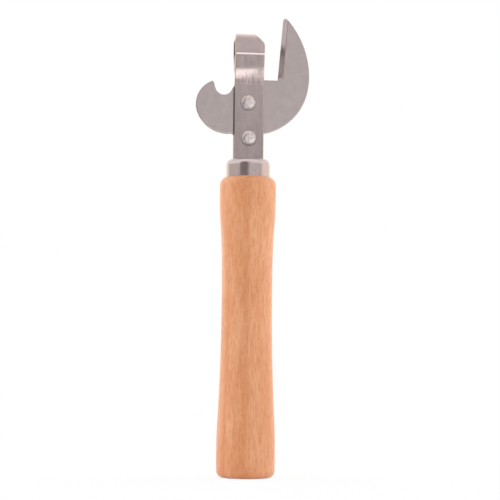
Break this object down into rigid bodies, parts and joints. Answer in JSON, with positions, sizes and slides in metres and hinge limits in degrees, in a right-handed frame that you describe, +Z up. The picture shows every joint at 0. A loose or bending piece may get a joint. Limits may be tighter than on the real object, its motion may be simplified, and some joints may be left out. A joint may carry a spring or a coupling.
{
  "type": "manual can opener",
  "caption": "Hand tool with a turned wooden handle, a steel claw blade with a cap lifter, and a folded guide strap riveted to its front.",
  "frame": {"origin": "centre of the handle's flat end face", "axes": "+Z up the handle's axis to the blade, +X towards the claw's cutting side, -Y towards the guide strap's side"},
  "size_m": [0.036, 0.0184, 0.1452],
  "materials": {
    "wood": "turned and sanded light hardwood, thin satin varnish",
    "plate_steel": "stamped sheet steel, satin",
    "strap_steel": "bent strip steel, satin, drawn lengthwise",
    "rivet_steel": "headed steel, dull",
    "ferrule_steel": "drawn steel, bright plated"
  },
  "bodies": {
    "root": {"handle": "wood", "ferrule": "ferrule_steel", "blade_plate": "plate_steel", "guide_strap": "strap_steel", "rivet_upper": "rivet_steel", "rivet_lower": "rivet_steel"}
  },
  "joints": []
}
